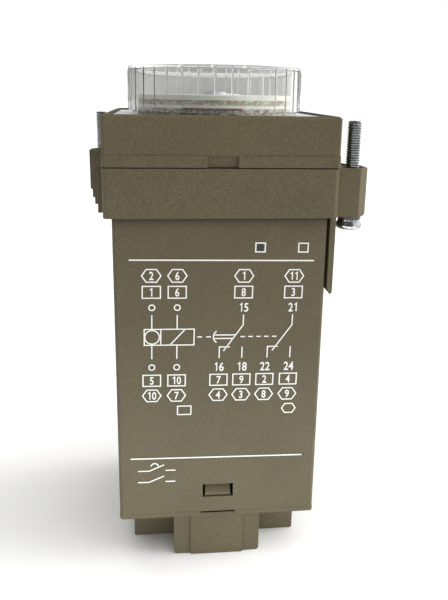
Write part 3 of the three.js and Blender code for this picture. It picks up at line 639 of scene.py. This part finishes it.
def thread(mesh, place, levels):
    """A right-hand helical thread, cut flat at both levels and chamfered at its tip."""
    segments = 28
    tip_slope = 0.8
    run_in, spare_turns = 1.5, 3     # turns past the levels, which are cut away
    crest_end, root_start, root_end = 0.16, 0.5, 0.66     # shares of the pitch
    turns = math.ceil((levels[1] - levels[0]) / THREAD_PITCH) + spare_turns
    section = (
        (0, THREAD_RADIUS), (crest_end, THREAD_RADIUS), (root_start, THREAD_ROOT), (root_end, THREAD_ROOT))
    columns = []
    for segment in range(segments + 1):
        angle = 2 * math.pi * segment / segments
        lift = levels[0] + (segment / segments - run_in) * THREAD_PITCH
        column = []
        for step in range(turns):
            for part, radius in section:
                height = lift + (step + part) * THREAD_PITCH
                reach = min(radius, THREAD_ROOT + max(levels[1] - height, 0) * tip_slope)
                x = place[0] + reach * math.cos(angle)
                y = place[1] + reach * math.sin(angle)
                column.append((x, y, height))
        columns.append(column)
    # painted shade: these parts of each turn take the darker zinc, as the shade in the thread's grooves
    shaded_parts = (1, 2)     # the flank on each crest's front side, and the root
    made = bmesh.new()
    grid = [[made.verts.new(point) for point in column] for column in columns]
    for first, second in zip(grid, grid[1:]):
        for k in range(len(first) - 1):
            face = made.faces.new((first[k], second[k], second[k + 1], first[k + 1]))
            face.material_index = int(k % len(section) in shaded_parts)
    bmesh.ops.remove_doubles(made, verts=made.verts, dist=MERGE_DISTANCE)
    for level, side in ((levels[0], -1), (levels[1], 1)):
        geometry = made.verts[:] + made.edges[:] + made.faces[:]
        cut = bmesh.ops.bisect_plane(
            made, geom=geometry, plane_co=(0, 0, level), plane_no=(0, 0, side), clear_outer=True)
        rim = [item for item in cut["geom_cut"] if isinstance(item, bmesh.types.BMEdge)]
        bmesh.ops.contextual_create(made, geom=rim)
    bmesh.ops.recalc_face_normals(made, faces=made.faces)
    data = bpy.data.meshes.new("thread")
    made.to_mesh(data)
    made.free()
    mesh.from_mesh(data)
    bpy.data.meshes.remove(data)


def pan_head(name, place, levels, radius):
    """A domed head with a tapered cross recess in its rear face, as a mesh."""
    bottom, top = levels
    crown, fullness = 1.25, 0.8
    dome_steps, rim_steps = 8, 64
    along, across = 1.45, 0.3
    deep_along, deep_across = 0.35 * along, 0.6 * across
    recess_depth, clearance = 1.5, 0.5
    recess_turn = 35
    mesh = bmesh.new()
    dome = [(0, bottom)]
    for step in range(1, dome_steps + 1):
        swing = math.pi / 2 * step / dome_steps
        dome.append((radius * math.sin(swing) ** fullness, bottom + crown * (1 - math.cos(swing))))
    guide = (0, bottom + 1, 0)     # sets the fillet's slant and is then dropped
    flat_side = filleted([(radius, top, 0.15), (0, top, 0), guide])[:-1]
    profile = [Vector(point) for point in dome] + flat_side
    turned(mesh, profile, even_angles(rim_steps), None, place)
    bmesh.ops.remove_doubles(mesh, verts=mesh.verts, dist=MERGE_DISTANCE)
    bmesh.ops.recalc_face_normals(mesh, faces=mesh.faces)
    head = bpy.data.objects.new(name, bpy.data.meshes.new(name))
    mesh.to_mesh(head.data)
    mesh.free()
    bpy.context.scene.collection.objects.link(head)
    for arm in range(2):
        tool = bmesh.new()
        corners = ((-1, -1), (1, -1), (1, 1), (-1, 1))
        low = [tool.verts.new((x * along, y * across, bottom - clearance)) for x, y in corners]
        high = [tool.verts.new((x * deep_along, y * deep_across, bottom + recess_depth)) for x, y in corners]
        tool.faces.new(low)
        tool.faces.new(high)
        for k in range(4):
            m = (k + 1) % 4
            tool.faces.new((low[k], low[m], high[m], high[k]))
        bmesh.ops.recalc_face_normals(tool, faces=tool.faces)
        turn = Matrix.Rotation(math.radians(recess_turn + 90 * arm), 4, "Z")
        tool.transform(Matrix.Translation((*place, 0)) @ turn)
        cutter = bpy.data.objects.new("recess", bpy.data.meshes.new("recess"))
        tool.to_mesh(cutter.data)
        tool.free()
        bpy.context.scene.collection.objects.link(cutter)
        boolean = head.modifiers.new("recess", "BOOLEAN")
        boolean.operation = "DIFFERENCE"
        boolean.solver = "EXACT"
        boolean.object = cutter
        depsgraph = bpy.context.evaluated_depsgraph_get()
        solid = bpy.data.meshes.new_from_object(head.evaluated_get(depsgraph))
        head.modifiers.clear()
        head.data = solid
        bpy.data.objects.remove(cutter)
    solid = head.data
    bpy.data.objects.remove(head)
    return solid


def clamp_screw(number):
    """A clamp screw with a recessed pan head and a modelled thread."""
    node = f"clamp_screw_{number}"
    low, high = box_mm(node)
    place = ((low.x + high.x) / 2, (low.y + high.y) / 2)
    head_top = 81
    overlap = 0.05
    head = pan_head(node, place, (low.z, head_top), (high.x - low.x) / 2)
    mesh = bmesh.new()
    mesh.from_mesh(head)
    bpy.data.meshes.remove(head)
    thread(mesh, place, (head_top - overlap, high.z))
    made = piece(f"threaded_screw_{number}", mesh, REFLECTION_PAINTED_ZINC, body_of[node], 30, ROOT_SHADE_ZINC)
    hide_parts(node)


clamp_screw(1)
clamp_screw(2)

# ---------------------------------------------------------------- printed diagram

PRINT_TURN = math.radians(-0.75)   # the print sits a little askew on the housing
PRINT_CENTRE = 48
LINE = 0.26
COLUMNS = (-14.7, -9.35, -0.2, 4.85, 9.95, 15.2)
LEAD_TOP = 60.65


def front_matrix():
    """From the diagram's flat millimetres to the housing's front face."""
    face = box_mm("housing_shell")[0].y
    lift = Matrix.Translation((0, face, PRINT_CENTRE)) @ Matrix.Rotation(math.pi / 2, 4, "X")
    return lift @ Matrix.Rotation(PRINT_TURN, 4, "Z") @ Matrix.Translation((0, -PRINT_CENTRE, 0))


TO_FRONT = front_matrix()


def on_front(x, y, level):
    """A point of the diagram, level millimetres out from the housing's face."""
    return TO_FRONT @ Vector((x, y, level))


def stroke(mesh, points, width=LINE, closed=False):
    """A printed line of even width along the points, mitred at its bends."""
    mitre_limit = 0.4     # keeps the mitre short where a bend is very sharp
    path = [Vector(point) for point in points]
    count = len(path)
    left, right = [], []
    for index, point in enumerate(path):
        back = point - path[index - 1] if closed or index else path[1] - point
        ahead = path[(index + 1) % count] - point if closed or index < count - 1 else back
        back, ahead = back.normalized(), ahead.normalized()
        along = (back + ahead).normalized()
        side = Vector((-along.y, along.x)) * (width / 2) / max(along.dot(ahead), mitre_limit)
        left.append(point + side)
        right.append(point - side)
    spans = count if closed else count - 1
    bottom, top = [[[mesh.verts.new(on_front(*p, level)) for p in edge] for edge in (left, right)]
                   for level in (0, PRINT_DEPTH)]
    for k in range(spans):
        m = (k + 1) % count
        mesh.faces.new((top[0][k], top[0][m], top[1][m], top[1][k]))
        mesh.faces.new((bottom[0][k], bottom[1][k], bottom[1][m], bottom[0][m]))
        mesh.faces.new((bottom[0][k], bottom[0][m], top[0][m], top[0][k]))
        mesh.faces.new((bottom[1][k], top[1][k], top[1][m], bottom[1][m]))
    if not closed:
        mesh.faces.new((bottom[0][0], top[0][0], top[1][0], bottom[1][0]))
        mesh.faces.new((bottom[0][-1], bottom[1][-1], top[1][-1], top[0][-1]))


def outline_box(mesh, x, y, width=3.78, height=2.6):
    half, rise = width / 2, height / 2
    corners = [(x - half, y - rise), (x + half, y - rise), (x + half, y + rise), (x - half, y + rise)]
    stroke(mesh, corners, closed=True)


def hexagon(mesh, x, y, width=4.0, height=2.75):
    half, rise, flat = width / 2, height / 2, width * 0.27
    stroke(mesh, [(x - half, y), (x - flat, y - rise), (x + flat, y - rise),
                  (x + half, y), (x + flat, y + rise), (x - flat, y + rise)], closed=True)


def arc(mesh, x, y, radius, start, end, steps, closed=False):
    angles = [math.radians(start + (end - start) * step / steps) for step in range(steps + (not closed))]
    stroke(mesh, [(x + radius * math.cos(a), y + radius * math.sin(a)) for a in angles], closed=closed)


def digits(mesh, text, x, y, height=1.75):
    """Upright digits, centred on x and y; a one is drawn with its flag."""
    pitch = 0.58 * height
    stem_shift, stem_top, stem_width = 0.1, 0.45 * height, 0.24
    flag_reach, flag_level = 0.4, 0.27 * height
    width, weight = 0.8, 0.04
    for index, digit in enumerate(text):
        middle = x + (index - (len(text) - 1) / 2) * pitch
        if digit == "1":
            stem = middle + stem_shift
            flag = (stem - flag_reach, y + flag_level)
            stroke(mesh, [flag, (stem, y + stem_top), (stem, y - height / 2)], stem_width)
        else:
            place = TO_FRONT @ Matrix.Translation((middle, y, 0))
            lettering(mesh, digit, height, place, width, weight)


def blot(mesh, x, y, radius):
    """A felt-pen mark, uneven round its edge, in the second look."""
    unevenness, wander = 0.14, 2.3
    before = len(mesh.faces)
    bends = even_angles(14)
    reach = [radius * (1 + unevenness * math.sin(wander * step)) for step in range(len(bends))]
    outline = [(x + r * math.cos(a), y + r * math.sin(a)) for r, a in zip(reach, bends)]
    extruded(mesh, outline, (0, PRINT_DEPTH), on_front)
    mesh.faces.ensure_lookup_table()
    for face in mesh.faces[before:]:
        face.material_index = 1


def changeover(mesh, normally_closed, common, normally_open):
    """A changeover contact: the blade comes down from common and rests on the closed side."""
    pivot, tip, blade_reach = 58.3, 52.35, 4.1
    seat, foot, seat_reach = 53.3, 50.7, 2.3
    stroke(mesh, [(common, LEAD_TOP), (common, pivot), (common - blade_reach, tip)])
    stroke(mesh, [(normally_closed + seat_reach, seat), (normally_closed, seat), (normally_closed, foot)])
    stroke(mesh, [(normally_open, seat), (normally_open, foot)])


def coil_and_motor(mesh):
    """The motor's box with its circle, the coil's with its diagonal, and their link to the contacts."""
    level, rise = 55.65, 1.8
    left, divide, right = -16.3, -12.8, -5.7
    foot = 50.65
    dash = 1
    link_half, link_left, upper_right, lower_right = 0.4, -1.3, 3.4, 2.85
    corners = [(left, level - rise), (right, level - rise), (right, level + rise), (left, level + rise)]
    stroke(mesh, corners, closed=True)
    stroke(mesh, [(divide, level - rise), (divide, level + rise)])
    arc(mesh, -14.65, level, 1.55, 0, 360, 28, closed=True)
    stroke(mesh, [(-10.85, level - rise), (-7.6, level + rise)])
    for x in COLUMNS[:2]:
        stroke(mesh, [(x, LEAD_TOP), (x, level + rise)])
        stroke(mesh, [(x, level - rise), (x, foot)])
    for start in (-5.0, -3.1, 4.3, 6.0, 7.75, 9.45, 11.2):
        stroke(mesh, [(start, level), (start + dash, level)])
    arc(mesh, 0.05, level, 1.6, 125, 235, 10)
    stroke(mesh, [(link_left, level + link_half), (upper_right, level + link_half)])
    stroke(mesh, [(link_left, level - link_half), (lower_right, level - link_half)])


def single_contact(mesh, level, delayed):
    """A small open contact below the lower rule; a delayed one carries an arc."""
    left, pivot, tip, tip_rise = -17.8, -15.3, -11.95, 1.5
    seat_left, seat_right, seat_rise = -11.6, -9.4, 0.1
    stroke(mesh, [(left, level), (pivot, level), (tip, level + tip_rise)])
    stroke(mesh, [(seat_left, level + seat_rise), (seat_right, level + seat_rise)])
    if delayed:
        arc(mesh, -14.05, level + 1.05, 0.85, 10, 170, 8)


def diagram():
    """All the white print: rules, tick boxes, numbers in boxes and hexagons, and contacts."""
    rule_half, rule_width = 19.4, 0.3
    ticked, unticked, tick_level = 7.85, 16.95, 75.45
    upper_hexagons, upper_boxes, upper_contacts = 69.28, 65.7, 62.3
    lower_contacts, lower_boxes, lower_hexagons = 48.68, 45.6, 42.02
    ring_levels, ring_radius = (62.3, 48.7), 0.62
    mesh = bmesh.new()
    for level in (72.65, 26.6):
        stroke(mesh, [(-rule_half, level), (rule_half, level)], rule_width)
    for x in (ticked, unticked):
        outline_box(mesh, x, tick_level, 2.0, 1.9)
    blot(mesh, ticked, tick_level, 0.78)
    for x, upper, lower in ((-14.8, "2", "1"), (-9.4, "6", "6"), (4.65, "1", "8"), (15.35, "11", "3")):
        hexagon(mesh, x, upper_hexagons)
        digits(mesh, upper, x, upper_hexagons)
        outline_box(mesh, x, upper_boxes)
        digits(mesh, lower, x, upper_boxes)
    for x, text in ((4.8, "15"), (15.5, "21")):
        digits(mesh, text, x, upper_contacts, 1.9)
    for x, text in zip(COLUMNS[2:], ("16", "18", "22", "24")):
        digits(mesh, text, x, lower_contacts, 1.95)
    for x, upper, lower in zip(COLUMNS, ("5", "10", "7", "9", "2", "4"), ("10", "7", "4", "3", "8", "9")):
        outline_box(mesh, x, lower_boxes)
        digits(mesh, upper, x, lower_boxes)
        hexagon(mesh, x, lower_hexagons)
        digits(mesh, lower, x, lower_hexagons)
    for x in COLUMNS[:2]:
        for level in ring_levels:
            arc(mesh, x, level, ring_radius, 0, 360, 16, closed=True)
    outline_box(mesh, -7.6, 38.4, 2.95, 2.05)
    hexagon(mesh, 15.7, 38.45, 3.1, 2.2)
    coil_and_motor(mesh)
    changeover(mesh, -0.2, 4.8, 4.75)
    changeover(mesh, 10.3, 15.45, 15.35)
    single_contact(mesh, 23.45, True)
    single_contact(mesh, 20.6, False)
    piece("printed_diagram", mesh, WHITE_INK, "housing", second_look=BLACK_INK)


diagram()

# ---------------------------------------------------------------- floor, lights, camera

FLOOR_TONE = 0.9


def floor_look():
    look = Look("pale_floor")
    cloud = look.noise(60, 2)
    tone = look.ramp(cloud, (0.3, 0.88), (0.7, FLOOR_TONE))
    look.wire(look.shader, {"Base Color": tone, "Roughness": look.ramp(cloud, (0.3, 0.85), (0.7, 0.9))})
    return look.material


def floor():
    half = 6000 * MM
    data = bpy.data.meshes.new("floor")
    corners = [(-half, -half, 0), (half, -half, 0), (half, half, 0), (-half, half, 0)]
    data.from_pydata(corners, [], [(0, 1, 2, 3)])
    data.materials.append(floor_look())
    made = bpy.data.objects.new("floor", data)
    bpy.context.scene.collection.objects.link(made)


def soft_sun(name, towards, spread, strength):
    """A broad, distant soft light, so that the floor is even out to the horizon."""
    data = bpy.data.lights.new(name, "SUN")
    data.angle = math.radians(spread)
    data.energy = strength
    made = bpy.data.objects.new(name, data)
    made.rotation_euler = Vector(towards).to_track_quat("Z", "Y").to_euler()
    made.visible_glossy = False     # its disc is not mirrored in metal or clear plastic
    made.visible_transmission = False
    bpy.context.scene.collection.objects.link(made)


def low_fill():
    """A wide, weak light near the floor in front, which lifts the lower half of the labelled side."""
    data = bpy.data.lights.new("low_fill", "AREA")
    data.shape = "RECTANGLE"
    data.size, data.size_y = 200 * MM, 20 * MM
    data.energy = 0.05
    made = bpy.data.objects.new("low_fill", data)
    made.location = (0, -70 * MM, 4 * MM)
    made.rotation_euler = Vector((0, -1, 0)).to_track_quat("Z", "Y").to_euler()
    made.visible_camera = False
    bpy.context.scene.collection.objects.link(made)


def studio():
    """A room lighter behind the object and at its right, with a soft top light and a key."""
    room_front, room_rear, room_right = 0.12, 0.5, 0.9
    top, key = 1.9, 3.6
    top_spread, key_spread = 70, 45
    top_direction = Vector((0, -0.12, 1)).normalized()
    key_direction = Vector((0.97, -0.04, 0.28)).normalized()
    # what a level surface receives, so that the backdrop can match the lit floor
    floor_light = (room_front + room_rear) / 2 + (top * top_direction.z + key * key_direction.z) / math.pi
    world = bpy.data.worlds.new("studio")
    world.use_nodes = True
    tree = world.node_tree
    link = tree.links.new
    surroundings = tree.nodes["Background"]
    surroundings.inputs["Color"].default_value = (1, 0.99, 0.965, 1)
    direction = tree.nodes.new("ShaderNodeTexCoord")
    split = tree.nodes.new("ShaderNodeSeparateXYZ")
    depth = tree.nodes.new("ShaderNodeMapRange")
    depth.inputs["From Min"].default_value = -0.7
    depth.inputs["From Max"].default_value = 0.5
    depth.inputs["To Min"].default_value = room_front
    depth.inputs["To Max"].default_value = room_rear
    link(direction.outputs["Generated"], split.inputs[0])
    link(split.outputs["Y"], depth.inputs["Value"])
    window = tree.nodes.new("ShaderNodeMapRange")
    window.interpolation_type = "SMOOTHSTEP"
    window.inputs["From Min"].default_value = 0.25
    window.inputs["From Max"].default_value = 0.7
    window.inputs["To Max"].default_value = room_right
    link(split.outputs["X"], window.inputs["Value"])
    level = tree.nodes.new("ShaderNodeMath")
    link(depth.outputs[0], level.inputs[0])
    link(window.outputs[0], level.inputs[1])
    link(level.outputs[0], surroundings.inputs["Strength"])
    backdrop = tree.nodes.new("ShaderNodeBackground")
    backdrop.inputs["Color"].default_value = (1, 1, 1, 1)
    backdrop.inputs["Strength"].default_value = max(FLOOR_TONE * floor_light, 1)
    straight = tree.nodes.new("ShaderNodeLightPath")
    mix = tree.nodes.new("ShaderNodeMixShader")
    link(straight.outputs["Is Camera Ray"], mix.inputs[0])
    link(surroundings.outputs[0], mix.inputs[1])
    link(backdrop.outputs[0], mix.inputs[2])
    link(mix.outputs[0], tree.nodes["World Output"].inputs["Surface"])
    bpy.context.scene.world = world
    bpy.context.scene.view_settings.view_transform = "Standard"
    soft_sun("top", top_direction, top_spread, top)
    soft_sun("key", key_direction, key_spread, key)
    low_fill()


def camera():
    """The photograph's view: just above the dial's height, looking a little down."""
    data = bpy.data.cameras.new("camera")
    data.sensor_fit = "VERTICAL"
    data.sensor_height = 36
    data.lens = 37.92
    data.shift_y = -0.0774
    data.clip_start = 10 * MM
    made = bpy.data.objects.new("camera", data)
    pan, tilt, roll = math.radians(-5.696), math.radians(-14.354), math.radians(-0.884)
    facing = Matrix.Rotation(pan, 4, "Z") @ Matrix.Rotation(tilt, 4, "X") @ Matrix.Rotation(roll, 4, "Y")
    place = Matrix.Translation(Vector((-12.07, -149.13, 106.68)) * MM)
    made.matrix_world = place @ facing @ Matrix.Rotation(math.pi / 2, 4, "X")
    bpy.context.scene.collection.objects.link(made)
    bpy.context.scene.camera = made


floor()
studio()
camera()
